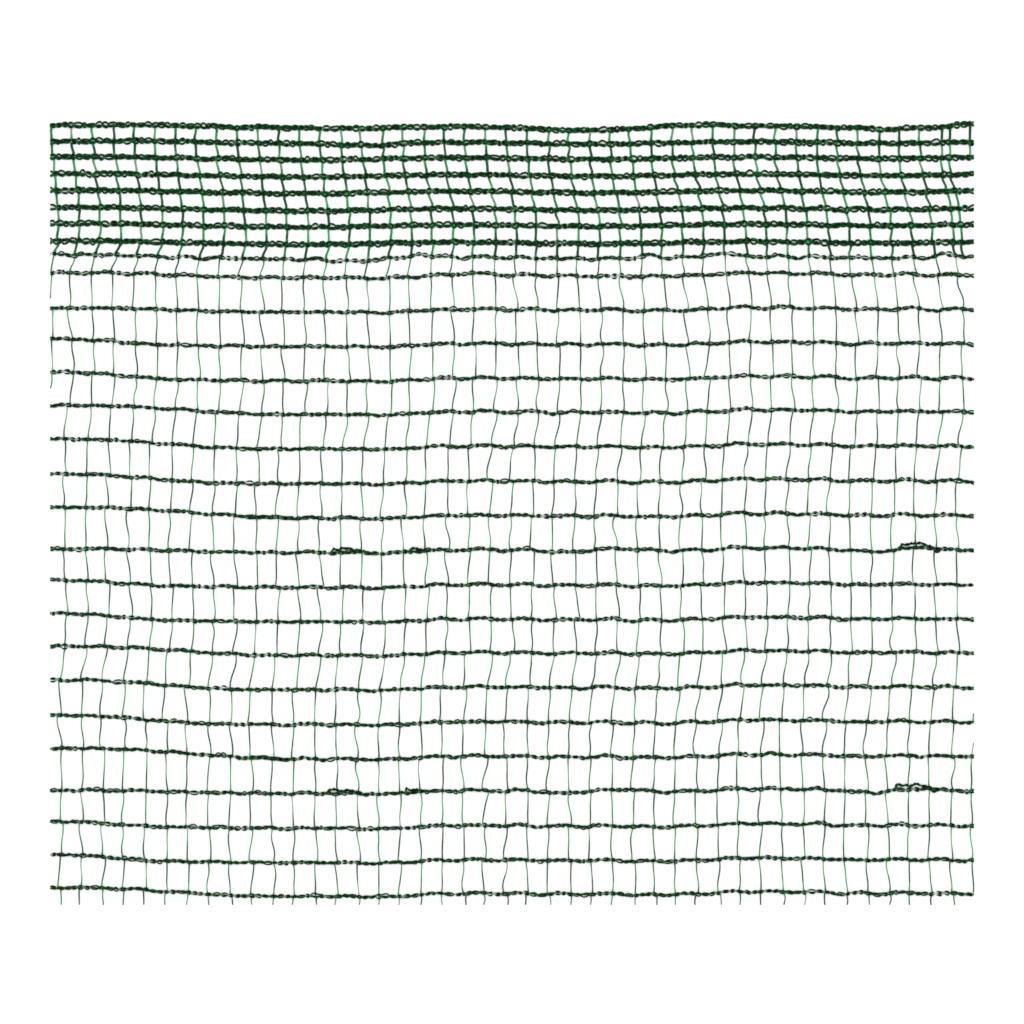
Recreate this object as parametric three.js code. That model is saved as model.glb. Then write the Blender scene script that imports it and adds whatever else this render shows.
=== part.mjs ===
// Anti-hail netting: one cut length of knitted monofilament netting, lying flat and face up.
// Millimetres, +Z up. The selvedge lies along +Y, and the underside lies on the plane z = 0.
//
// The real net has 28 knitted rows (8 thick ones close together in the selvedge, then 20 thin ones)
// and a cross thread through them every 5 mm. Every second row and every second cross thread is kept
// here, which gives 14 x 21 = 294 cut-through meshes. The selvedge's two outermost rows both stay.
// Each kept row is a bar with a raised crest, and the bars and cross threads are one closed solid.
import * as THREE from 'three';
import { mergeVertices } from 'three/addons/utils/BufferGeometryUtils.js';

// Driving sizes
const pieceWidth = 217.4; // from cut edge to cut edge, along the rows
const sheetThickness = 1.0; // of the cross threads, and of a row at its two edges
const crossThreadWidth = 0.8;
const crossThreadCount = 22; // kept ones: every second of 43
const tailEnd = 0; // the cross threads are cut off here, below the last row

// A knitted row's bar: its width, and the height of its crest
const selvedgeCord = { width: 1.5, crest: 1.6 };
const bodyChain = { width: 1.1, crest: 1.3 };

// Where each kept row lies, in mm from the lower left corner of the piece:
// y is its level, lift is how far it climbs at the left cut edge, and the first and the last kept
// cross threads pass it at x = first and x = last. The cross threads lean, so these differ by row.
const rows = [
  { row: 1, y: 183.0, lift: 0.8, first: 4.9, last: 212.2, bar: selvedgeCord },
  { row: 2, y: 179.3, lift: 0.8, first: 5.1, last: 212.2, bar: selvedgeCord },
  { row: 4, y: 171.7, lift: 0.8, first: 5.9, last: 212.9, bar: selvedgeCord },
  { row: 6, y: 163.7, lift: 0.8, first: 6.7, last: 214.1, bar: selvedgeCord },
  { row: 8, y: 155.8, lift: 0.9, first: 6.6, last: 214.3, bar: selvedgeCord },
  { row: 10, y: 148.1, lift: 1.4, first: 4.7, last: 213.8, bar: bodyChain },
  { row: 12, y: 131.9, lift: 2.0, first: 5.1, last: 214.6, bar: bodyChain },
  { row: 14, y: 116.0, lift: 2.3, first: 4.5, last: 214.8, bar: bodyChain },
  { row: 16, y: 99.6, lift: 2.5, first: 3.5, last: 213.4, bar: bodyChain },
  { row: 18, y: 83.4, lift: 1.0, first: 3.2, last: 213.5, bar: bodyChain },
  { row: 20, y: 67.1, lift: 2.0, first: 3.8, last: 213.4, bar: bodyChain },
  { row: 22, y: 51.1, lift: 2.3, first: 2.2, last: 213.0, bar: bodyChain },
  { row: 24, y: 34.8, lift: 2.5, first: 2.5, last: 211.9, bar: bodyChain },
  { row: 26, y: 18.5, lift: 1.8, first: 2.4, last: 212.2, bar: bodyChain },
  { row: 28, y: 2.5, lift: 2.3, first: 2.2, last: 212.5, bar: bodyChain },
];

// The waviness that all the rows share
const liftReach = 42; // the climb at the left edge has faded this far in
const swell = { height: 0.35, length: 72, crestAt: 97.7 };
const rise = 0.3; // how far the right edge lies above the middle, and the left below it
const threadWander = 0.3; // how far a cross thread strays from even spacing

// A row's height at x: its level, the climb that fades in a half cosine, the swell and the rise.
function rowHeight(row, x) {
  const fade = x < liftReach ? (1 + Math.cos((Math.PI * x) / liftReach)) / 2 : 0;
  const wave = swell.height * Math.cos((2 * Math.PI * (x - swell.crestAt)) / swell.length);
  return row.y + row.lift * fade + wave + rise * ((2 * x) / pieceWidth - 1);
}

// Where kept cross thread number k passes a row: spaced evenly, plus a small uneven part.
function crossThreadX(row, k) {
  const even = row.first + ((row.last - row.first) * k) / (crossThreadCount - 1);
  return even + threadWander * Math.sin(1.9 * k + 0.7 * row.row);
}

// The corners of a row's bar at x, counterclockwise as seen from +X:
// low bottom, high bottom, high top, crest, low top.
function barCorners(row, x) {
  const y = rowHeight(row, x);
  const half = row.bar.width / 2;
  return [
    new THREE.Vector3(x, y - half, 0),
    new THREE.Vector3(x, y + half, 0),
    new THREE.Vector3(x, y + half, sheetThickness),
    new THREE.Vector3(x, y, row.bar.crest),
    new THREE.Vector3(x, y - half, sheetThickness),
  ];
}
const [LOW_BOTTOM, HIGH_BOTTOM, HIGH_TOP, CREST, LOW_TOP] = [0, 1, 2, 3, 4];

// The four corners where a cross thread meets one side of a row, or ends.
function joint(bottomLeft, bottomRight, topRight, topLeft) {
  return { bottomLeft, bottomRight, topRight, topLeft };
}

// Gathers flat polygons, each given counterclockwise as seen from outside, into one geometry.
class FaceList {
  constructor() {
    this.coordinates = [];
  }

  add(...corners) {
    for (let i = 2; i < corners.length; i += 1) {
      for (const corner of [corners[0], corners[i - 1], corners[i]]) {
        this.coordinates.push(corner.x, corner.y, corner.z);
      }
    }
  }

  geometry() {
    const loose = new THREE.BufferGeometry();
    loose.setAttribute('position', new THREE.Float32BufferAttribute(this.coordinates, 3));
    return mergeVertices(loose);
  }
}

// The sections of a row's bar: at each cut end, and at both sides of each kept cross thread.
function rowSections(row) {
  const stations = [0];
  for (let k = 0; k < crossThreadCount; k += 1) {
    const x = crossThreadX(row, k);
    stations.push(x - crossThreadWidth / 2, x + crossThreadWidth / 2);
  }
  stations.push(pieceWidth);
  return stations.map((x) => barCorners(row, x));
}

// A row's bar from cut end to cut end, left open at the sides where a cross thread joins it.
function addRow(faces, sections, isFirst) {
  for (let s = 0; s + 1 < sections.length; s += 1) {
    const [here, next] = [sections[s], sections[s + 1]];
    const crossed = s % 2 === 1;
    const side = (a, b) => faces.add(here[a], here[b], next[b], next[a]);
    side(LOW_BOTTOM, HIGH_BOTTOM);
    side(HIGH_TOP, CREST);
    side(CREST, LOW_TOP);
    if (!crossed || isFirst) side(HIGH_BOTTOM, HIGH_TOP);
    if (!crossed) side(LOW_TOP, LOW_BOTTOM);
  }
  faces.add(...[...sections[0]].reverse());
  faces.add(...sections[sections.length - 1]);
}

// A stretch of cross thread, from the lower side of one row to the upper side of the next.
function addCrossThread(faces, from, to) {
  faces.add(from.topLeft, to.topLeft, to.topRight, from.topRight);
  faces.add(from.bottomLeft, from.bottomRight, to.bottomRight, to.bottomLeft);
  faces.add(from.bottomLeft, to.bottomLeft, to.topLeft, from.topLeft);
  faces.add(from.topRight, to.topRight, to.bottomRight, from.bottomRight);
}

function lowerJoint(left, right) {
  return joint(left[LOW_BOTTOM], right[LOW_BOTTOM], right[LOW_TOP], left[LOW_TOP]);
}

function upperJoint(left, right) {
  return joint(left[HIGH_BOTTOM], right[HIGH_BOTTOM], right[HIGH_TOP], left[HIGH_TOP]);
}

// The cut end of a cross thread, straight below where it leaves the last row.
function cutEnd(from) {
  const lowered = (corner) => new THREE.Vector3(corner.x, tailEnd, corner.z);
  return joint(
    lowered(from.bottomLeft),
    lowered(from.bottomRight),
    lowered(from.topRight),
    lowered(from.topLeft),
  );
}

function netGeometry() {
  const faces = new FaceList();
  const sectionsOf = rows.map(rowSections);
  sectionsOf.forEach((sections, r) => addRow(faces, sections, r === 0));
  for (let r = 0; r < rows.length; r += 1) {
    for (let k = 0; k < crossThreadCount; k += 1) {
      const [left, right] = [2 * k + 1, 2 * k + 2];
      const from = lowerJoint(sectionsOf[r][left], sectionsOf[r][right]);
      if (r + 1 < rows.length) {
        const below = sectionsOf[r + 1];
        addCrossThread(faces, from, upperJoint(below[left], below[right]));
      } else {
        const end = cutEnd(from);
        addCrossThread(faces, from, end);
        faces.add(end.bottomLeft, end.bottomRight, end.topRight, end.topLeft);
      }
    }
  }
  return faces.geometry();
}

const greenMonofilament = new THREE.MeshStandardMaterial({
  name: 'green_monofilament',
  color: 0x24402c,
  roughness: 0.45,
  metalness: 0,
});

// The origin is the middle of the piece's footprint, on the surface that it lies on.
const geometry = netGeometry();
geometry.computeBoundingBox();
const middle = geometry.boundingBox.getCenter(new THREE.Vector3());
const net = new THREE.Mesh(geometry, greenMonofilament);
net.name = 'anti_hail_net';
net.position.set(-middle.x, -middle.y, 0);

const group = new THREE.Group();
group.add(net);

export default group;
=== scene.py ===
"""Anti-hail netting: a cut length of knitted monofilament netting with a reinforced selvedge, laid flat.

The netting is warp-knitted. Each row is a pillar-stitch chain, a line of loops, each drawn through
the last, and a cross thread lies through every row at each third stitch. The eight selvedge rows are
knitted with two yarns at once, and their cross threads run up to the outermost row and back.

Lengths in the tables and in the path functions are millimetres: x from the left cut edge, y from the
lower cut ends, z from the floor. A finished mesh is in metres, placed as the frame's node is.
"""

import math
from typing import NamedTuple

import bpy
import numpy as np
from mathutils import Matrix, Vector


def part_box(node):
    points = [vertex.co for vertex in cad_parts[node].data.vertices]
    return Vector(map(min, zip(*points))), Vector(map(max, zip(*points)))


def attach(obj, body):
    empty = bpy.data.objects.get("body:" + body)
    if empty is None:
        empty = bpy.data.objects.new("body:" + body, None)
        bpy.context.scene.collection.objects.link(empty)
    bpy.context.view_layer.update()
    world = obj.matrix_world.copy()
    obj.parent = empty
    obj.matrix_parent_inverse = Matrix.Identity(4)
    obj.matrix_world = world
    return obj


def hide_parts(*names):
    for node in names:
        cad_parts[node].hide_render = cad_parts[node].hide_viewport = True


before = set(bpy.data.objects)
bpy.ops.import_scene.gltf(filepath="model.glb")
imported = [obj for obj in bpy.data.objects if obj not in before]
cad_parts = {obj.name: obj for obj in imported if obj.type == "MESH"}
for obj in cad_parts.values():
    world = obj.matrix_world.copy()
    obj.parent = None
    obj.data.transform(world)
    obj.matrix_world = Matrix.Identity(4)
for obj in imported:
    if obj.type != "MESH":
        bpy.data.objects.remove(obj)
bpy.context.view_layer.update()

bl_info = {
    "name": "Anti-hail Netting",
    "version": (1, 0, 0),
    "blender": (4, 5, 0),
    "location": "3D View > Sidebar > Netting",
    "description": "Knits a flat cut length of anti-hail netting with its selvedge",
    "category": "Add Mesh",
}

NODE = "anti_hail_net"
BODY = "root"
MM = 0.001
NODE_LOW, NODE_HIGH = (np.array(corner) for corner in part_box(NODE))
PIECE_WIDTH = (NODE_HIGH - NODE_LOW)[0] / MM


class Wander(NamedTuple):
    """An uneven wave: its standard deviation, and about how long one wave is."""

    amount: float
    length: float


class Row(NamedTuple):
    """A knitted row. level is its height above the lower cut ends. It climbs by lift at the left cut
    edge, and the climb has faded after reach. Cross threads 1 and 43 lie at first and last in the gap
    below it."""

    level: float
    lift: float
    reach: float
    first: float
    last: float


ROWS = [
    Row(level=183.0, lift=0.9, reach=60, first=4.9, last=209.8),
    Row(level=179.3, lift=0.8, reach=60, first=5.2, last=209.6),
    Row(level=175.7, lift=0.8, reach=38, first=5.7, last=209.8),
    Row(level=171.7, lift=0.8, reach=38, first=6.1, last=210.5),
    Row(level=167.8, lift=0.8, reach=38, first=6.6, last=211.7),
    Row(level=163.7, lift=0.9, reach=38, first=6.8, last=212.4),
    Row(level=159.9, lift=0.9, reach=38, first=6.8, last=212.7),
    Row(level=155.8, lift=0.9, reach=38, first=6.4, last=212.9),
    Row(level=152.3, lift=1.2, reach=38, first=4.9, last=213.4),
    Row(level=148.1, lift=1.0, reach=48, first=4.5, last=214.3),
    Row(level=140.0, lift=0.8, reach=44, first=4.9, last=215.2),
    Row(level=131.9, lift=1.7, reach=30, first=5.2, last=214.3),
    Row(level=123.8, lift=2.0, reach=32, first=5.2, last=215.2),
    Row(level=115.9, lift=2.0, reach=56, first=3.8, last=214.8),
    Row(level=107.8, lift=2.2, reach=48, first=3.3, last=213.6),
    Row(level=99.6, lift=2.2, reach=42, first=3.8, last=213.4),
    Row(level=91.5, lift=2.4, reach=62, first=2.8, last=213.1),
    Row(level=83.4, lift=0.7, reach=42, first=3.5, last=213.8),
    Row(level=75.2, lift=1.6, reach=30, first=3.8, last=213.1),
    Row(level=67.1, lift=1.9, reach=30, first=3.8, last=213.8),
    Row(level=59.2, lift=2.0, reach=54, first=2.4, last=213.6),
    Row(level=51.1, lift=2.2, reach=46, first=1.9, last=212.4),
    Row(level=42.9, lift=2.1, reach=40, first=2.4, last=212.0),
    Row(level=34.8, lift=2.4, reach=60, first=2.6, last=211.7),
    Row(level=26.7, lift=0.6, reach=38, first=2.1, last=212.4),
    Row(level=18.5, lift=1.5, reach=28, first=2.6, last=211.7),
    Row(level=10.4, lift=1.8, reach=28, first=2.4, last=212.4),
    Row(level=2.5, lift=1.9, reach=50, first=2.1, last=212.7),
]
SELVEDGE_ROWS = 8
SLACK_ROWS = (9, 10)
SLACK_OPEN = 3.0  # these have this many times as many open stitches as the rest of the body
SLACK_PULL = 1.35  # and their yarn is drawn this much thinner between stitches
FIRST_THREAD, LAST_THREAD = 1, 43
THREADS = range(0, 45)  # thread 0 runs off the left cut edge, and thread 44 off the right one
CLOSE_THREAD_OFFSET = 1.9  # the selvedge has one more cross thread, this far right of thread 43
EDGE_TURN_OFFSET = 6.6  # and one in its two outermost gaps, this far right
EDGE_THREAD_ROWS = 13  # thread 0 stays inside the cut edge as far as this row

EDGE_CLEARANCE = 0.25  # this far inside
SELVEDGE_SCATTER, BODY_SCATTER = 0.14, 0.26  # how far a cross thread strays from even spacing

# The netting is one piece of cloth, made as strips of this many rows to keep each mesh small.
ROWS_IN_STRIP = 4

# The first seed of each kind of unevenness. A row's or a cross thread's number is added to it, and
# where both count, a row's number takes SEEDS_IN_ROW seeds.
GAP_SEED, ROW_SEED, CHAIN_SEED, TONE_SEED = 900, 500, 100, 300
SWERVE_SEED, TWIST_SEED, GIRTH_SEED = 7000, 7900, 4000
SEEDS_IN_ROW = 50


class Swell(NamedTuple):
    """The long wave that a group of rows shares: its height, length and a crest's place, and how far
    the right edge lies above the middle."""

    height: float
    length: float
    crest: float
    rise: float


SELVEDGE_SWELL = Swell(height=0.23, length=68.0, crest=95.5, rise=0.26)
BODY_SWELL = Swell(height=0.26, length=80.0, crest=98.6, rise=0.43)

# The ripple is half as high left of the first of these, and full right of the second
RIPPLE_FROM, RIPPLE_FULL = 80.0, 105.0
RIPPLE_PHASE = 0.6  # a crest lies this far after each even cross thread, in meshes
SELVEDGE_RIPPLE, BODY_RIPPLE = 0.03, 0.2  # its height

ROW_WANDER = Wander(amount=0.07, length=9.0)
LOOSE_ROW_WANDER = Wander(amount=0.12, length=6.0)  # of the row next to the selvedge
YARN_WANDER = Wander(amount=0.06, length=2.4)  # of a yarn round its row


class Bump(NamedTuple):
    """A bell-shaped rise or dip, that rows from first to last share each step rows."""

    first: int
    last: int
    step: int
    at: float
    spread: float
    height: float


BUMPS = [
    Bump(first=1, last=2, step=1, at=55.0, spread=7.0, height=0.3),
    Bump(first=1, last=1, step=1, at=124.0, spread=9.0, height=-0.5),
    Bump(first=1, last=1, step=1, at=151.0, spread=6.0, height=0.45),
    Bump(first=1, last=1, step=1, at=197.0, spread=6.0, height=-0.35),
    Bump(first=1, last=1, step=1, at=216.0, spread=2.5, height=0.6),
    Bump(first=2, last=2, step=1, at=76.0, spread=4.0, height=-0.45),
    Bump(first=9, last=9, step=1, at=71.5, spread=4.0, height=-0.6),
    Bump(first=9, last=9, step=1, at=87.5, spread=2.5, height=0.6),
    Bump(first=9, last=9, step=1, at=140.5, spread=2.5, height=0.5),
    Bump(first=9, last=9, step=1, at=158.0, spread=2.5, height=0.8),
    Bump(first=9, last=9, step=1, at=211.0, spread=2.5, height=0.6),
    Bump(first=10, last=10, step=1, at=99.0, spread=3.0, height=0.4),
    Bump(first=10, last=28, step=1, at=79.0, spread=6.0, height=-0.45),
    Bump(first=11, last=28, step=1, at=131.0, spread=4.0, height=0.25),
    Bump(first=10, last=28, step=1, at=163.0, spread=6.0, height=0.35),
    Bump(first=10, last=28, step=1, at=190.0, spread=4.0, height=-0.35),
    Bump(first=18, last=25, step=7, at=120.5, spread=2.5, height=-0.5),
    Bump(first=18, last=25, step=7, at=136.0, spread=4.0, height=0.5),
    Bump(first=18, last=25, step=7, at=193.0, spread=4.0, height=-0.4),
    Bump(first=18, last=25, step=7, at=206.0, spread=1.8, height=0.7),
]


class Step(NamedTuple):
    """One point of a stitch: along in stitch lengths, across in half widths of the loop, height in
    yarn diameters to the yarn's centre, and girth as a share of the yarn's diameter."""

    along: float
    across: float
    height: float
    girth: float


# A loop comes up through the last loop, lies on it as two legs, and turns behind the next loop's
# feet. Then the yarn runs along the back to the next stitch.
LOOP = [
    Step(along=0.02, across=-0.42, height=1.2, girth=0.80),
    Step(along=0.20, across=-0.70, height=2.3, girth=0.84),
    Step(along=0.46, across=-0.98, height=2.5, girth=1.02),
    Step(along=0.76, across=-1.00, height=2.2, girth=1.06),
    Step(along=1.00, across=-0.70, height=1.7, girth=0.88),
    Step(along=1.15, across=0.00, height=1.4, girth=0.80),
    Step(along=1.00, across=0.70, height=1.7, girth=0.88),
    Step(along=0.76, across=1.00, height=2.2, girth=1.06),
    Step(along=0.46, across=0.98, height=2.5, girth=1.02),
    Step(along=0.20, across=0.70, height=2.3, girth=0.84),
    Step(along=0.02, across=0.42, height=1.2, girth=0.80),
]
UNDERLAP = [
    Step(along=0.22, across=0.1, height=0.5, girth=0.80),
    Step(along=0.72, across=-0.1, height=0.5, girth=1.05),
]

FOOT_END = 0.4  # LOOP's points below this are its feet
LEG_HEIGHT = 1.9  # and the points above this are its legs
CROSSING_IN_STITCH = 0.55  # a cross thread passes a stitch this far along it
STITCH_SCATTER = 0.05  # how far the start of a stitch strays, in meshes
WIDTH_SCATTER = 0.15  # how much one loop's width differs from the next
NARROWEST, WIDEST = 0.6, 1.4  # of a loop, as a share of the usual one
FOOT_SPREAD = (0.4, 1.2)  # how far apart a loop's feet are, least and most, as a share of LOOP's
OPEN_SPREAD = (0.7, 1.2)  # how far the leg of an open stitch stands out, as a share of the setting
BODY_STAND = 0.6  # and in the body it stands out by this share of that
LEAN = 0.35  # the rest of an open stitch lies over by this share of it
BACK_LEAN = 0.55  # and the yarn on the back by this share
SECOND_IN_OPEN = 0.7  # in an open leg the second yarn's offset is this share of the usual one
SECOND_LAG = 0.08  # the second yarn's head lies this far behind the first's, in stitches
SECOND_DROP = 0.75  # and its legs lie this many diameters lower
BACK_SCATTER = 0.15  # how far the yarn on the back strays, in half widths of the loop
BACK_SECOND = 0.6  # and its share of the second yarn's offset

# How hard a stitch is drawn: the change of girth is up to this many times LOOP's, and varies along
# the row
SELVEDGE_PULL, BODY_PULL = 0.8, 2.6
PULL_WANDER = Wander(amount=0.6, length=9.0)
LEAST_PULL, MOST_PULL = 0.1, 2.4

# Thin places, where the yarn is drawn out, get a painted sheen: this much further along the ramp of
# colours, towards a pale colour that stands in for the sheen of taut yarn
PAINTED_SHEEN = 1.5


class Snag(NamedTuple):
    """A slack strand lying beside a row, between two places along it. It stands rise above the row's
    centre from its start on for a share hold of its length, comes down to the row by its end, and
    hangs drop below it there."""

    row: int
    start: float
    end: float
    rise: float
    hold: float
    drop: float


SNAGS = [
    Snag(row=18, start=65.9, end=76.5, rise=1.0, hold=0.2, drop=0.2),
    Snag(row=18, start=84.6, end=89.5, rise=0.9, hold=0.1, drop=0.0),
    Snag(row=18, start=199.8, end=209.6, rise=1.0, hold=0.5, drop=0.8),
    Snag(row=25, start=64.9, end=75.0, rise=0.9, hold=0.2, drop=0.2),
    Snag(row=25, start=83.4, end=89.5, rise=0.9, hold=0.1, drop=0.0),
    Snag(row=25, start=198.6, end=209.0, rise=1.1, hold=0.5, drop=0.8),
]


class YarnJoin(NamedTuple):
    """A stretch of row where the end of one yarn lies beside the start of the next."""

    row: int
    start: float
    end: float


YARN_JOINS = [
    YarnJoin(row=17, start=46.0, end=57.0),
    YarnJoin(row=24, start=47.0, end=56.0),
]


class NettingSizes(bpy.types.PropertyGroup):
    """Sizes of the yarn and its stitches."""

    yarn_diameter: bpy.props.FloatProperty(
        name="Yarn diameter", description="Diameter of the monofilament that the rows are knitted from",
        default=0.34 * MM, precision=5, unit="LENGTH")
    cross_diameter: bpy.props.FloatProperty(
        name="Cross thread diameter", description="Diameter of the monofilament of the cross threads",
        default=0.28 * MM, precision=5, unit="LENGTH")
    loop_width: bpy.props.FloatProperty(
        name="Loop width", description="Width of a body loop between the centres of its legs",
        default=0.61 * MM, precision=5, unit="LENGTH")
    selvedge_loop_width: bpy.props.FloatProperty(
        name="Selvedge loop width", description="Width of a selvedge loop's inner yarn, between the legs",
        default=0.56 * MM, precision=5, unit="LENGTH")
    second_yarn_offset: bpy.props.FloatProperty(
        name="Second yarn offset", description="How far outside the first selvedge yarn the second lies",
        default=0.22 * MM, precision=5, unit="LENGTH")
    loose_leg: bpy.props.FloatProperty(
        name="Loose leg", description="How far the leg of an open stitch stands out from its row",
        default=0.26 * MM, precision=5, unit="LENGTH")
    open_share: bpy.props.FloatProperty(
        name="Open stitches", description="Share of the body's stitches that are open",
        default=0.12, subtype="FACTOR", min=0, max=1)
    open_share_selvedge: bpy.props.FloatProperty(
        name="Open selvedge stitches", description="Share of the selvedge's stitches that are open",
        default=0.50, subtype="FACTOR", min=0, max=1)
    stitches_per_mesh: bpy.props.IntProperty(
        name="Stitches per mesh", description="Knitted stitches from one cross thread to the next",
        default=3, min=1)
    tube_sides: bpy.props.IntProperty(
        name="Yarn sides", description="Faces around a yarn", default=6, min=3)


class NettingFinish(bpy.types.PropertyGroup):
    """Colours and gloss of the yarn."""

    deep_green: bpy.props.FloatVectorProperty(
        name="Deep green", description="Darkest colour of the knitted yarn",
        default=(0.0002, 0.0015, 0.0006), subtype="COLOR", min=0, max=1)
    leaf_green: bpy.props.FloatVectorProperty(
        name="Leaf green", description="Lighter colour of the knitted yarn, in patches",
        default=(0.003, 0.110, 0.020), subtype="COLOR", min=0, max=1)
    dull_green: bpy.props.FloatVectorProperty(
        name="Dull green", description="Darkest colour of the cross threads",
        default=(0.007, 0.085, 0.022), subtype="COLOR", min=0, max=1)
    cross_green: bpy.props.FloatVectorProperty(
        name="Cross thread green", description="Lightest colour of the cross threads, in patches",
        default=(0.022, 0.350, 0.080), subtype="COLOR", min=0, max=1)
    # Painted sheen: a pale colour for the thin, taut places of the yarn, standing in for their highlight
    painted_sheen_green: bpy.props.FloatVectorProperty(
        name="Pale green", description="Colour of the yarn where it is drawn thin",
        default=(0.26, 0.33, 0.27), subtype="COLOR", min=0, max=1)
    roughness: bpy.props.FloatProperty(
        name="Roughness", description="Roughness of the drawn plastic", default=0.42,
        subtype="FACTOR", min=0, max=1)


class StageSettings(bpy.types.PropertyGroup):
    """Floor, lights and camera."""

    view_width: bpy.props.FloatProperty(
        name="View width", description="Width of floor that the picture takes in",
        default=0.24115, precision=4, unit="LENGTH")
    view_shift: bpy.props.FloatProperty(
        name="View shift", description="How far above the netting's middle the picture's middle lies",
        default=0.00035, precision=5, unit="LENGTH")
    lens: bpy.props.FloatProperty(
        name="Lens", description="Focal length in millimetres, long enough to flatten the view",
        default=200.0, subtype="DISTANCE_CAMERA")
    floor_colour: bpy.props.FloatVectorProperty(
        name="Floor", description="Colour of the floor", default=(0.86, 0.87, 0.86),
        subtype="COLOR", min=0, max=1)
    sky_strength: bpy.props.FloatProperty(
        name="Sky strength", description="Brightness of the white surround", default=0.27)
    lamp_power: bpy.props.FloatProperty(
        name="Lamp power", description="Power of each soft lamp", default=11.8, unit="POWER")


def smooth_step(x):
    """3x^2 - 2x^3, with x held between 0 and 1."""
    x = np.clip(x, 0.0, 1.0)
    return x * x * (3.0 - 2.0 * x)


def wander(x, shape, rng):
    """An uneven wave: the sum of four sines of seeded phase, of wavelengths from 0.6 to 1.7 times the
    shape's length, with a standard deviation of its amount."""
    stretch = rng.uniform(0.6, 1.7, 4)
    phase = rng.uniform(0.0, 2.0 * np.pi, 4)
    waves = np.sin(2.0 * np.pi * np.asarray(x)[..., None] / (shape.length * stretch) + phase)
    return shape.amount * waves.sum(-1) / math.sqrt(2.0)


def gap_places(number):
    """Where each cross thread lies in the gap below a row: evenly spaced through threads 1 and 43, plus
    a seeded uneven part."""
    row = ROWS[number - 1]
    rng = np.random.default_rng(GAP_SEED + number)
    share = (np.array(THREADS) - FIRST_THREAD) / (LAST_THREAD - FIRST_THREAD)
    scatter = SELVEDGE_SCATTER if number <= SELVEDGE_ROWS else BODY_SCATTER
    places = row.first + (row.last - row.first) * share + rng.normal(0.0, scatter, len(share))
    if number <= EDGE_THREAD_ROWS:
        places[0] = max(places[0], EDGE_CLEARANCE)
    return places


def crossing_places(number):
    """Where each cross thread passes a row: midway between its places in the gaps above and below."""
    above = gap_places(max(number - 1, 1))
    return (above + gap_places(number)) / 2.0


def thread_count_at(number, x):
    """The number of the cross thread at x on a row, with fractions between two threads."""
    return np.interp(x, crossing_places(number), np.array(THREADS, float))


def row_height(number, x):
    """The height of a row's centre at x: its level, a climb at the left edge that fades in a half
    cosine, a swell and a rise that many rows share, a ripple with a crest at each second mesh, the
    bumps, and a seeded wander."""
    row = ROWS[number - 1]
    x = np.asarray(x, float)
    rng = np.random.default_rng(ROW_SEED + number)
    climb = row.lift * (1.0 + np.cos(np.pi * np.clip(x / row.reach, 0.0, 1.0))) / 2.0
    wave = SELVEDGE_SWELL if number <= SELVEDGE_ROWS + 1 else BODY_SWELL
    swell = wave.height * np.cos(2.0 * np.pi * (x - wave.crest) / wave.length)
    rise = wave.rise * (2.0 * x / PIECE_WIDTH - 1.0)
    full = SELVEDGE_RIPPLE if number <= SELVEDGE_ROWS else BODY_RIPPLE
    grown = 0.5 + 0.5 * smooth_step((x - RIPPLE_FROM) / (RIPPLE_FULL - RIPPLE_FROM))
    ripple = full * grown * np.cos(np.pi * (thread_count_at(number, x) - RIPPLE_PHASE))
    bumps = sum(bump.height * np.exp(-0.5 * ((x - bump.at) / bump.spread) ** 2) for bump in BUMPS
                if number in range(bump.first, bump.last + 1, bump.step))
    loose = LOOSE_ROW_WANDER if number == SELVEDGE_ROWS + 1 else ROW_WANDER
    return row.level + climb + swell + rise + ripple + bumps + wander(x, loose, rng)


def stitch_starts(number, per_mesh, rng):
    """Where a row's stitches start. The middle of each third stitch is at a cross thread, and the row
    runs on past both cut edges."""
    crossings = crossing_places(number)
    pitch = (crossings[-1] - crossings[0]) / (len(crossings) - 1)
    stitch = np.arange(-2 * per_mesh, (len(crossings) + 2) * per_mesh)
    beyond = np.concatenate([[crossings[0] - 3 * pitch], crossings, [crossings[-1] + 3 * pitch]])
    index = np.concatenate([[-3.0], np.arange(len(crossings)), [len(crossings) + 2.0]])
    starts = np.interp(stitch / per_mesh, index, beyond) - CROSSING_IN_STITCH * pitch / per_mesh
    return starts + rng.normal(0.0, STITCH_SCATTER * pitch, len(starts))


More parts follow.
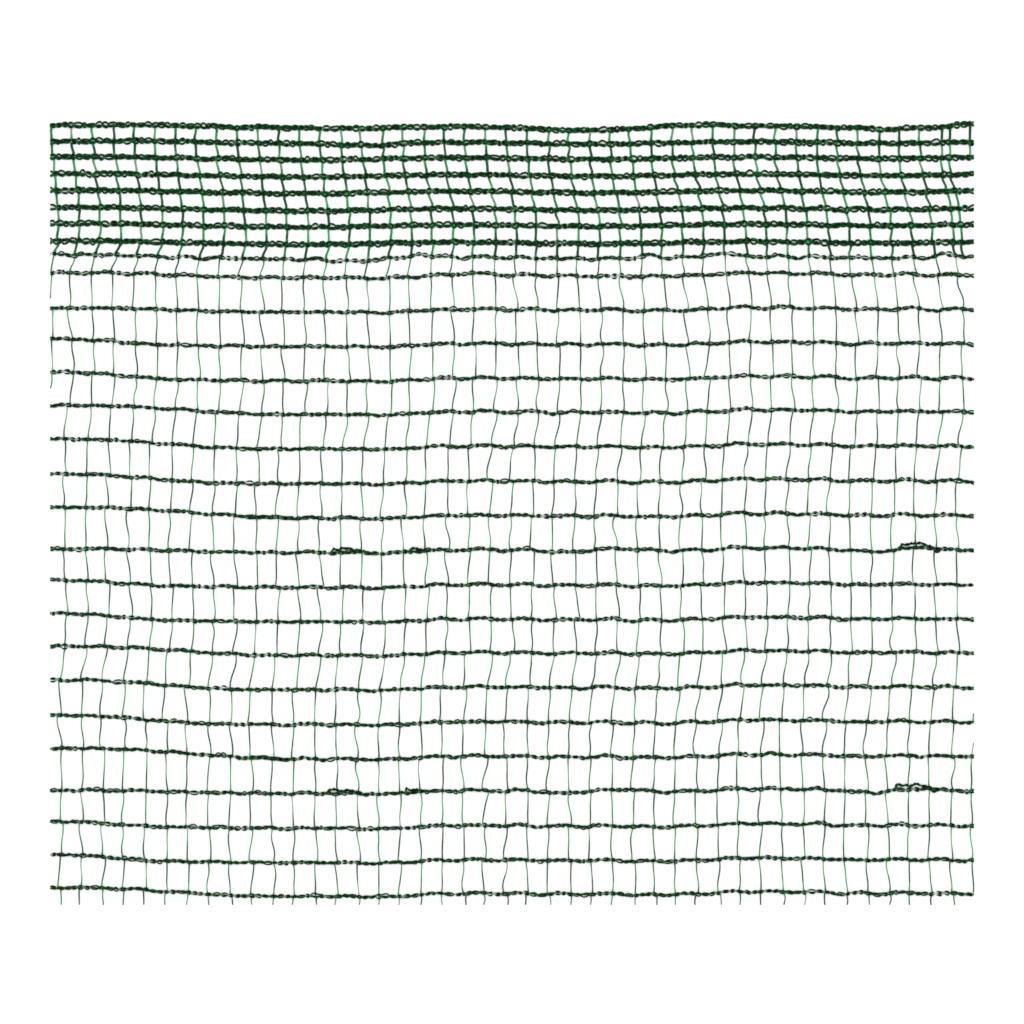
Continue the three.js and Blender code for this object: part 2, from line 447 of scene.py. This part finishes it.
def chain_path(number, sizes, seed, doubled=False):
    """A yarn's path through a row of pillar stitches, as rows of x, y, z and girth: LOOP's points scaled
    to each stitch's own length and width, then UNDERLAP's. In an open stitch the leg on one side stands
    out, and the rest of the stitch lies over to the other side. A row's second yarn lies outside the
    first, and lower in its legs."""
    selvedge = number <= SELVEDGE_ROWS
    diameter = sizes.yarn_diameter / MM
    half_width = (sizes.selvedge_loop_width if selvedge else sizes.loop_width) / MM / 2
    second = doubled * sizes.second_yarn_offset / MM
    rng = np.random.default_rng(seed)
    starts = stitch_starts(number, sizes.stitches_per_mesh, rng)
    count = len(starts) - 1
    length = np.diff(starts)[:, None]
    begin = starts[:-1, None]
    wide = half_width * rng.normal(1.0, WIDTH_SCATTER, (count, 1)).clip(NARROWEST, WIDEST)
    share = sizes.open_share_selvedge if selvedge else sizes.open_share
    is_open = rng.random((count, 1)) < share * (SLACK_OPEN if number in SLACK_ROWS else 1.0)
    open_side = is_open * rng.choice([-1.0, 1.0], (count, 1))
    stand = sizes.loose_leg / MM * rng.uniform(*OPEN_SPREAD, (count, 1))
    stand = stand * (1.0 if selvedge else BODY_STAND)

    loop = np.array(LOOP)
    side = np.sign(loop[:, 1])
    leg = np.clip(np.abs(loop[:, 1]) - 0.5, 0.0, 0.5) / 0.5  # 0 near the middle, and 1 out on a leg
    x = begin + length * (loop[:, 0] + SECOND_LAG * doubled * (loop[:, 0] > 1))
    stands = open_side * side > 0
    foot = np.where(loop[:, 0] < FOOT_END, rng.uniform(*FOOT_SPREAD, (count, 1)), 1.0)
    y = wide * foot * loop[:, 1] + side * second * np.where(stands, SECOND_IN_OPEN, 1.0)
    y = y + leg * stand * np.where(stands, open_side, -LEAN * open_side)
    z = diameter * (loop[:, 2] - SECOND_DROP * doubled * (loop[:, 2] > LEG_HEIGHT)) + 0.0 * y

    under = np.array(UNDERLAP)
    ux = begin + length * under[:, 0]
    uy = half_width * (rng.normal(0.0, BACK_SCATTER, (count, 1)) + under[:, 1])
    uy = uy + BACK_SECOND * second * rng.choice([-1.0, 1.0], (count, 1)) - BACK_LEAN * stand * open_side
    uz = diameter * under[:, 2] + 0.0 * uy
    pull = rng.random((count, 1)) ** 1.5 * (SELVEDGE_PULL if selvedge else BODY_PULL)
    pull = pull * (SLACK_PULL if number in SLACK_ROWS else 1.0)
    pull = pull * np.clip(1.0 + wander(begin, PULL_WANDER, rng), LEAST_PULL, MOST_PULL)
    girth = 1.0 + pull * (np.concatenate([loop[:, 3], under[:, 3]]) - 1.0)
    sides = [np.concatenate(pair, 1) for pair in ((x, ux), (y, uy), (z, uz))]
    path = np.stack([*sides, girth], -1).reshape(-1, 4)
    path[:, 1] += row_height(number, path[:, 0]) + wander(path[:, 0], YARN_WANDER, rng)
    return path


LEAST_STEP = 0.01  # of two points closer than this, the second is left out


def inside_runs(path):
    """The stretches of a path of x, y, z and girth that lie inside the cut edges, each ending exactly
    on the edge."""
    room = np.minimum(np.minimum(path[:, 0], PIECE_WIDTH - path[:, 0]), path[:, 1])
    inside = room > 0.0
    edges = np.flatnonzero(np.diff(np.concatenate([[False], inside, [False]]).astype(int)))
    runs = []
    for start, stop in edges.reshape(-1, 2):
        part = [path[start:stop]]
        if start > 0:
            share = room[start] / (room[start] - room[start - 1])
            part.insert(0, (path[start] + share * (path[start - 1] - path[start]))[None])
        if stop < len(path):
            share = room[stop - 1] / (room[stop - 1] - room[stop])
            part.append((path[stop - 1] + share * (path[stop] - path[stop - 1]))[None])
        run = np.concatenate(part)
        moved = np.linalg.norm(np.diff(run[:, :3], axis=0), axis=1) > LEAST_STEP
        run = run[np.concatenate([[True], moved])]
        if len(run) > 2:
            runs.append(run)
    return runs


# A cross thread's unevenness in a row or a gap, as standard deviations: how far it runs along a row to
# either side, how far it bows to one side, and how far it sways to both
JOG, BOW, SWAY = 0.25, 0.13, 0.10
CALM = 0.5  # the share of these in the selvedge and next to it
SHORT_GAP_ROWS = SELVEDGE_ROWS + 1  # the gaps below these rows are short
ROW_HALF = 0.42  # a cross thread leaves a row this far from its middle
TAIL = 1.5  # the last rows' threads run on this far past the cut
THREAD_HEIGHT = 1.5  # of a thread's middle in a row, in its diameters
THREAD_SAG = 0.6  # and this much lower between rows
TWIST = Wander(amount=0.35, length=14.0)  # of a doubled thread's two strands round each other
STRAND_HEIGHT = 0.9  # how far they pass over each other, as a share of how far beside
GIRTH_WANDER = Wander(amount=0.09, length=12.0)


def thread_swerves(thread, number):
    """How far a cross thread runs along a row, bows and sways in the gap below it, seeded."""
    rng = np.random.default_rng(SWERVE_SEED + SEEDS_IN_ROW * number + thread)
    return rng.normal(0.0, (JOG, BOW, SWAY))


def thread_path(thread, rows, diameter, strand=0.0, offset=0.0, turns_back=False):
    """A cross thread's path down through some rows and the gaps below them, as rows of x, y, z and
    girth, which wanders. In a row it runs a little way along the chain, from where it comes in to where
    it goes out. In a gap it follows a smooth step from side to side, plus a seeded bow. strand is how
    far to one side a doubled thread's strand lies, offset moves the whole thread sideways, and
    turns_back brings the two strands together at their upper end."""
    points = []
    for number in rows:
        short_gap = number <= SHORT_GAP_ROWS
        calm, stations = (CALM, 5) if short_gap else (1.0, 7)
        jog, bow, sway = calm * thread_swerves(thread, number)
        next_jog = calm * thread_swerves(thread, number + 1)[0]
        here = crossing_places(number)[thread] + offset
        after = crossing_places(min(number + 1, len(ROWS)))[thread] + offset
        middle = float(row_height(number, here))
        enters, leaves = here - jog, here + jog
        for x, up in ((enters, ROW_HALF), (here, 0.0), (leaves, -ROW_HALF)):
            points.append((x, middle + up, THREAD_HEIGHT * diameter))
        if number < len(ROWS):
            floor = float(row_height(number + 1, after)) + ROW_HALF
        else:
            floor = -TAIL
            after, next_jog = here + jog, 0.0
        t = np.linspace(0.0, 1.0, stations)[1:-1]
        x = leaves + (after - next_jog - leaves) * smooth_step(t)
        x = x + bow * np.sin(np.pi * t) + sway * np.sin(2.0 * np.pi * t)
        y = middle - ROW_HALF + (floor - middle + ROW_HALF) * t
        z = diameter * (THREAD_HEIGHT - THREAD_SAG * np.sin(np.pi * t))
        points.extend(zip(x, y, z))
    if rows[-1] < len(ROWS):
        points.append((after - next_jog, floor, THREAD_HEIGHT * diameter))
        points.append((after, floor - ROW_HALF, THREAD_HEIGHT * diameter))
    path = np.array(points)
    twist = wander(path[:, 1], TWIST, np.random.default_rng(TWIST_SEED + thread))
    path[:, 0] += strand * np.cos(twist)
    path[:, 2] += abs(strand) * STRAND_HEIGHT * np.sin(twist) * np.sign(strand)
    if turns_back:
        path[0] = (path[1, 0] - strand * np.cos(twist[1]), path[0, 1], path[0, 2])
    rng = np.random.default_rng(GIRTH_SEED + SEEDS_IN_ROW * rows[0] + thread)
    return np.column_stack([path, 1.0 + wander(path[:, 1], GIRTH_WANDER, rng)])


SNAG_WANDER = Wander(amount=0.12, length=3.0)
SNAG_ONSET = 0.08  # a slack strand has left its row after this share of its length
SNAG_DROP_FROM = 0.80  # and hangs below it from here on
PLY_TURN = 2.2  # its two yarns go once round each other in this length
PLY_RADIUS = 0.16  # at this distance from its middle line
JOIN_LANES = (0.32, -0.3)  # how far above and below a row's middle its joined yarn ends lie


def snag_path(snag, diameter, ply):
    """One of the two yarns of a slack strand: a helix round the strand's middle line, the second yarn
    half a turn behind the first. The middle line is told by Snag."""
    share = np.linspace(0.0, 1.0, 70)
    x = snag.start + (snag.end - snag.start) * share
    fall = 1.0 - smooth_step((share - snag.hold) / (1.0 - snag.hold))
    slack = wander(x, SNAG_WANDER, np.random.default_rng(int(10 * snag.start)))
    level = (snag.rise + slack) * smooth_step(share / SNAG_ONSET) * fall
    hang = np.clip((share - SNAG_DROP_FROM) / (1.0 - SNAG_DROP_FROM), 0.0, 1.0)
    level = level - snag.drop * np.sin(np.pi * hang)
    turn = np.pi * ply + 2.0 * np.pi * (x - snag.start) / PLY_TURN + 0.8 * np.sin(1.3 * x)
    y = row_height(snag.row, x) + level + PLY_RADIUS * np.sin(turn)
    z = diameter * (1.9 + 0.7 * np.cos(turn))
    return np.stack([x + 0.15 * np.cos(turn), y, z, np.ones_like(x)], -1)


def join_path(join, diameter, lane):
    """The end of a yarn lying along a row, beside its chain, in a low wave."""
    x = np.linspace(join.start, join.end, 30)
    y = row_height(join.row, x) + lane + 0.08 * np.sin(2.0 * np.pi * x / 3.1)
    z = diameter * (1.5 + 0.8 * np.sin(2.0 * np.pi * x / 4.3))
    return np.stack([x, y, z, np.ones_like(x)], -1)


class Yarns:
    """Gathers yarns as round tubes, and makes one mesh of them."""

    def __init__(self, sides):
        self.sides = sides
        self.points, self.quads, self.caps, self.tones, self.along, self.kinds = [], [], [], [], [], []
        self.total = 0

    def add(self, path, diameter, tone, kind):
        """A tube along a path of x, y, z and girth: round each point stands a ring of corners, half the
        diameter times the girth times the cosine and sine of the angle along two directions square to the
        path. The faces point outwards. tone is the yarn's own shade; thin places get a painted sheen on
        top of it, a step further along the ramp. kind is its material's number."""
        for stretch in inside_runs(path):
            run, girth = stretch[:, :3], stretch[:, 3]
            ahead = np.gradient(run, axis=0)
            ahead /= np.linalg.norm(ahead, axis=1)[:, None]
            across = np.cross(ahead, [0.0, 0.0, 1.0])
            across /= np.linalg.norm(across, axis=1)[:, None] + 1e-9
            over = np.cross(across, ahead)
            angle = 2.0 * np.pi * np.arange(self.sides) / self.sides
            ring = np.cos(angle)[:, None] * across[:, None] + np.sin(angle)[:, None] * over[:, None]
            corners = run[:, None] + (diameter / 2.0 * girth)[:, None, None] * ring
            first = self.total + self.sides * np.arange(len(run) - 1)[:, None]
            here = np.arange(self.sides)
            after = (here + 1) % self.sides
            quad = np.stack([first + here, first + self.sides + here,
                             first + self.sides + after, first + after], -1)
            self.quads.append(quad.reshape(-1, 4))
            self.kinds.append(np.full(quad.size // 4, kind))
            end = self.total + self.sides * (len(run) - 1)
            self.caps.append((self.total + here, end + here[::-1], kind))
            self.points.append(corners.reshape(-1, 3))
            # Painted sheen: thin places are moved along the ramp towards the pale sheen colour
            self.tones.append(np.repeat(tone + PAINTED_SHEEN * (1.0 - girth), self.sides))
            step = np.linalg.norm(np.diff(run, axis=0), axis=1)
            distance = np.concatenate([[0.0], np.cumsum(step)])
            self.along.append(np.repeat(distance, self.sides))
            self.total += len(run) * self.sides

    def make_object(self, name, materials):
        """The mesh as an object in the frame's metres, smooth but for the cut ends."""
        points = np.concatenate(self.points)
        points[:, 2] = np.maximum(points[:, 2], 0.0)
        corner = np.array([NODE_LOW[0], NODE_LOW[1], 0.0])
        points = points * MM + corner
        quads = np.concatenate(self.quads)
        caps = np.array([cap for low, high, _ in self.caps for cap in (low, high)])
        cap_kinds = np.repeat([kind for _, _, kind in self.caps], 2)
        mesh = bpy.data.meshes.new(name)
        mesh.vertices.add(len(points))
        mesh.vertices.foreach_set("co", points.ravel())
        mesh.loops.add(quads.size + caps.size)
        mesh.loops.foreach_set("vertex_index", np.concatenate([quads.ravel(), caps.ravel()]))
        mesh.polygons.add(len(quads) + len(caps))
        starts = np.concatenate([4 * np.arange(len(quads)),
                                 quads.size + self.sides * np.arange(len(caps))])
        mesh.polygons.foreach_set("loop_start", starts)
        mesh.update(calc_edges=True)
        smooth = np.arange(len(quads) + len(caps)) < len(quads)
        mesh.polygons.foreach_set("use_smooth", smooth)
        mesh.polygons.foreach_set("material_index", np.concatenate([*self.kinds, cap_kinds]))
        # The tone attribute holds each yarn's own shade plus the painted sheen of its thin places
        for label, values in (("tone", self.tones), ("along", self.along)):
            layer = mesh.attributes.new(label, "FLOAT", "POINT")
            layer.data.foreach_set("value", np.concatenate(values))
        for material in materials:
            mesh.materials.append(material)
        if mesh.validate():
            raise RuntimeError(f"{name} had faulty faces")
        piece = bpy.data.objects.new(name, mesh)
        bpy.context.scene.collection.objects.link(piece)
        return piece


def add_node(tree, kind, **values):
    """A new shader node with some of its settings and inputs set."""
    node = tree.nodes.new(kind)
    for key, value in values.items():
        if key in node.inputs:
            node.inputs[key].default_value = value
        else:
            setattr(node, key, value)
    return node


KNITTED_PATCH, CROSSING_PATCH = 1.1, 6.0  # length of a patch of colour along a yarn
DARK_TO, LIGHT_AT = 0.46, 0.70  # where the ramp leaves the dark colour, and reaches the light one


def yarn_material(name, dark, light, pale, patch_length, roughness):
    """Drawn polyethylene monofilament: the colour runs between dark and light along each yarn, in patches
    of about patch_length, shifted by the yarn's tone, and on to pale as a painted sheen where the yarn is
    drawn thin, with an uneven gloss and a slight bump."""
    material = bpy.data.materials.get(name)
    if material:
        return material
    material = bpy.data.materials.new(name)
    material.use_nodes = True
    tree = material.node_tree
    shader = tree.nodes["Principled BSDF"]
    shader.inputs["IOR"].default_value = 1.52
    shader.inputs["Specular IOR Level"].default_value = 0.10
    tone = add_node(tree, "ShaderNodeAttribute", attribute_name="tone")
    along = add_node(tree, "ShaderNodeAttribute", attribute_name="along")
    patches = add_node(tree, "ShaderNodeTexNoise", noise_dimensions="1D", Scale=1.0 / patch_length,
                       Detail=3.0, Roughness=0.6)
    tree.links.new(along.outputs["Fac"], patches.inputs["W"])
    shade = add_node(tree, "ShaderNodeMath", operation="ADD")
    tree.links.new(patches.outputs["Fac"], shade.inputs[0])
    tree.links.new(tone.outputs["Fac"], shade.inputs[1])
    ramp = add_node(tree, "ShaderNodeValToRGB")
    first, last = ramp.color_ramp.elements
    first.position, first.color = DARK_TO, (*dark, 1.0)
    last.position, last.color = LIGHT_AT, (*light, 1.0)
    # The ramp's last stop, pale, is the painted sheen's colour
    thin = ramp.color_ramp.elements.new(1.0)
    thin.color = (*pale, 1.0)
    tree.links.new(shade.outputs[0], ramp.inputs["Fac"])
    tree.links.new(ramp.outputs["Color"], shader.inputs["Base Color"])
    place = add_node(tree, "ShaderNodeTexCoord")
    rub = add_node(tree, "ShaderNodeTexNoise", Scale=260.0, Detail=3.0)
    tree.links.new(place.outputs["Object"], rub.inputs["Vector"])
    gloss = add_node(tree, "ShaderNodeMapRange")
    gloss.inputs["To Min"].default_value = roughness - 0.10
    gloss.inputs["To Max"].default_value = roughness + 0.12
    tree.links.new(rub.outputs["Fac"], gloss.inputs["Value"])
    tree.links.new(gloss.outputs["Result"], shader.inputs["Roughness"])
    bump = add_node(tree, "ShaderNodeBump", Strength=0.25, Distance=0.00004)
    tree.links.new(patches.outputs["Fac"], bump.inputs["Height"])
    tree.links.new(bump.outputs["Normal"], shader.inputs["Normal"])
    return material


def netting_materials(finish):
    """The knitted yarn's material and the cross threads', in the order of their numbers."""
    knitted = yarn_material("knitted_green_yarn", finish.deep_green, finish.leaf_green,
                            finish.painted_sheen_green, KNITTED_PATCH, finish.roughness)
    crossing = yarn_material("cross_green_thread", finish.dull_green, finish.cross_green,
                             finish.painted_sheen_green, CROSSING_PATCH, finish.roughness)
    return knitted, crossing


KNITTED, CROSSING = 0, 1

# The shade of a whole yarn, as a step along its material's ramp of colours
PLAIN_TONE, SECOND_TONE = 0.0, 0.05
MOST_TONE = 0.1  # of a cross thread, from none
STRANDS = (-0.14, 0.14)  # how far to either side a doubled cross thread's two strands lie


def add_chain(yarns, number, sizes):
    """A row's yarn, or its two yarns in the selvedge, which share one seed and so their stitches."""
    diameter = sizes.yarn_diameter / MM
    seed = CHAIN_SEED + number
    yarns.add(chain_path(number, sizes, seed), diameter, PLAIN_TONE, KNITTED)
    if number <= SELVEDGE_ROWS:
        yarns.add(chain_path(number, sizes, seed, doubled=True), diameter, SECOND_TONE, KNITTED)


def make_strip(rows, sizes, finish):
    """One strip of netting: its rows' chains, the cross threads down to the next strip, and any snag
    or yarn join in its rows."""
    diameter, thin = sizes.yarn_diameter / MM, sizes.cross_diameter / MM
    yarns = Yarns(sizes.tube_sides)
    for number in rows:
        add_chain(yarns, number, sizes)
    selvedge = rows[0] <= SELVEDGE_ROWS
    for thread in THREADS:
        tone = np.random.default_rng(TONE_SEED + thread).uniform(0.0, MOST_TONE)
        if not selvedge:
            yarns.add(thread_path(thread, rows, thin), thin, tone, CROSSING)
        elif thread <= LAST_THREAD:
            for strand in STRANDS:
                path = thread_path(thread, rows, thin, strand, turns_back=rows[0] == 1)
                yarns.add(path, thin, tone, CROSSING)
    if selvedge:
        for strand in STRANDS:
            path = thread_path(LAST_THREAD, rows, thin, strand, offset=CLOSE_THREAD_OFFSET)
            yarns.add(path, thin, SECOND_TONE, CROSSING)
            if rows[0] == 1:
                path = thread_path(LAST_THREAD, rows[:2], thin, strand, offset=EDGE_TURN_OFFSET)
                yarns.add(path, thin, SECOND_TONE, CROSSING)
    for snag in SNAGS:
        if snag.row in rows:
            for ply in (0, 1):
                yarns.add(snag_path(snag, diameter, ply), diameter, PLAIN_TONE, KNITTED)
    for join in YARN_JOINS:
        if join.row in rows:
            for lane in JOIN_LANES:
                yarns.add(join_path(join, diameter, lane), diameter, PLAIN_TONE, KNITTED)
    name = f"netting_rows_{rows[0]:02d}_{rows[-1]:02d}"
    piece = yarns.make_object(name, netting_materials(finish))
    finish_piece(piece)
    return piece


def finish_piece(piece):
    """Makes a strip part of the net's body, in place of its solid, which it hides."""
    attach(piece, BODY)
    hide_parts(NODE)


class NETTING_OT_selvedge(bpy.types.Operator):
    """Knit the eight selvedge rows and their doubled cross threads"""

    bl_idname = "netting.selvedge"
    bl_label = "Selvedge"

    def execute(self, context):
        scene = context.scene
        for start in range(1, SELVEDGE_ROWS + 1, ROWS_IN_STRIP):
            make_strip(range(start, start + ROWS_IN_STRIP), scene.netting_sizes, scene.netting_finish)
        return {"FINISHED"}


class NETTING_OT_body(bpy.types.Operator):
    """Knit the twenty body rows and their cross threads"""

    bl_idname = "netting.body"
    bl_label = "Body"

    def execute(self, context):
        scene = context.scene
        for start in range(SELVEDGE_ROWS + 1, len(ROWS) + 1, ROWS_IN_STRIP):
            make_strip(range(start, start + ROWS_IN_STRIP), scene.netting_sizes, scene.netting_finish)
        return {"FINISHED"}


class NETTING_OT_stage(bpy.types.Operator):
    """Add the floor, the soft light and the camera"""

    bl_idname = "netting.stage"
    bl_label = "Stage"

    def execute(self, context):
        settings = context.scene.netting_stage
        add_floor(settings)
        add_light(context.scene, settings)
        add_camera(context.scene, settings)
        return {"FINISHED"}


FLOOR_REACH = 2.0  # metres from its middle to an edge
FLOOR_MOTTLE = 0.985  # the darkest brightness of the floor, as a share of its lightest


def add_floor(settings):
    """A plain pale floor, a square of 2 by 2 cells."""
    grid = np.linspace(-FLOOR_REACH, FLOOR_REACH, 3)
    x, y = np.meshgrid(grid, grid)
    points = np.stack([x.ravel(), y.ravel(), np.zeros(9)], -1)
    faces = [(i, i + 1, i + 4, i + 3) for i in (0, 1, 3, 4)]
    mesh = bpy.data.meshes.new("floor")
    mesh.from_pydata(points.tolist(), [], faces)
    material = bpy.data.materials.new("pale_floor")
    material.use_nodes = True
    tree = material.node_tree
    shader = tree.nodes["Principled BSDF"]
    shader.inputs["Roughness"].default_value = 0.9
    shader.inputs["Specular IOR Level"].default_value = 0.1
    place = add_node(tree, "ShaderNodeTexCoord")
    mottle = add_node(tree, "ShaderNodeTexNoise", Scale=9.0, Detail=2.0)
    tree.links.new(place.outputs["Object"], mottle.inputs["Vector"])
    shade = add_node(tree, "ShaderNodeMix", data_type="RGBA")
    shade.inputs[6].default_value = (*settings.floor_colour, 1.0)
    shade.inputs[7].default_value = (*(FLOOR_MOTTLE * np.array(settings.floor_colour)), 1.0)
    tree.links.new(mottle.outputs["Fac"], shade.inputs["Factor"])
    tree.links.new(shade.outputs[2], shader.inputs["Base Color"])
    mesh.materials.append(material)
    floor = bpy.data.objects.new("floor", mesh)
    bpy.context.scene.collection.objects.link(floor)


class Lamp(NamedTuple):
    """A soft lamp: its turn round the netting, its tilt from overhead, and its share of the power."""

    turn: float
    tilt: float
    share: float


LAMPS = [
    Lamp(turn=120.0, tilt=18.0, share=1.5),
    Lamp(turn=300.0, tilt=18.0, share=1.1),
    Lamp(turn=30.0, tilt=50.0, share=0.5),
    Lamp(turn=210.0, tilt=50.0, share=0.5),
]
LAMP_DISTANCE = 1.7
LAMP_WIDTH, LAMP_LENGTH = 1.0, 1.4


def add_light(scene, settings):
    """A white surround, and wide soft lamps round the netting, the strongest at the upper left."""
    world = bpy.data.worlds.new("studio")
    world.use_nodes = True
    background = world.node_tree.nodes["Background"]
    background.inputs["Color"].default_value = (1.0, 1.0, 1.0, 1.0)
    background.inputs["Strength"].default_value = settings.sky_strength
    scene.world = world
    for number, lamp in enumerate(LAMPS, 1):
        turn, tilt = math.radians(lamp.turn), math.radians(lamp.tilt)
        light = bpy.data.lights.new(f"soft_lamp_{number}", "AREA")
        light.shape = "RECTANGLE"
        light.size, light.size_y = LAMP_WIDTH, LAMP_LENGTH
        light.energy = settings.lamp_power * lamp.share
        holder = bpy.data.objects.new(light.name, light)
        holder.rotation_euler = (0.0, tilt, turn)
        holder.location = LAMP_DISTANCE * np.array(
            [math.sin(tilt) * math.cos(turn), math.sin(tilt) * math.sin(turn), math.cos(tilt)])
        scene.collection.objects.link(holder)
    scene.view_settings.view_transform = "Standard"


def add_camera(scene, settings):
    """A camera straight above the middle of the netting, with the selvedge at the top."""
    data = bpy.data.cameras.new("camera")
    data.lens = settings.lens
    data.sensor_width = 36.0
    distance = settings.view_width * data.lens / data.sensor_width
    data.clip_end = 20.0
    camera = bpy.data.objects.new("camera", data)
    camera.location = (0.0, settings.view_shift, distance)
    scene.collection.objects.link(camera)
    scene.camera = camera


class NETTING_PT_panel(bpy.types.Panel):
    """Lists the netting's pieces and settings."""

    bl_label = "Anti-hail Netting"
    bl_idname = "NETTING_PT_panel"
    bl_space_type = "VIEW_3D"
    bl_region_type = "UI"
    bl_category = "Netting"

    def draw(self, context):
        column = self.layout.column()
        for group in (context.scene.netting_sizes, context.scene.netting_finish,
                      context.scene.netting_stage):
            for name in group.__annotations__:
                column.prop(group, name)
        for operator in (NETTING_OT_selvedge, NETTING_OT_body, NETTING_OT_stage):
            column.operator(operator.bl_idname)


GROUPS = {
    "netting_sizes": NettingSizes,
    "netting_finish": NettingFinish,
    "netting_stage": StageSettings,
}
OPERATORS = (NETTING_OT_stage, NETTING_OT_selvedge, NETTING_OT_body)


def register():
    for group in GROUPS.values():
        bpy.utils.register_class(group)
    for label, group in GROUPS.items():
        setattr(bpy.types.Scene, label, bpy.props.PointerProperty(type=group))
    for thing in (*OPERATORS, NETTING_PT_panel):
        bpy.utils.register_class(thing)


def unregister():
    for thing in (NETTING_PT_panel, *reversed(OPERATORS)):
        bpy.utils.unregister_class(thing)
    for label in GROUPS:
        delattr(bpy.types.Scene, label)
    for group in reversed(GROUPS.values()):
        bpy.utils.unregister_class(group)


def main():
    register()
    bpy.ops.netting.stage()
    bpy.ops.netting.selvedge()
    bpy.ops.netting.body()


if __name__ == "__main__":
    main()
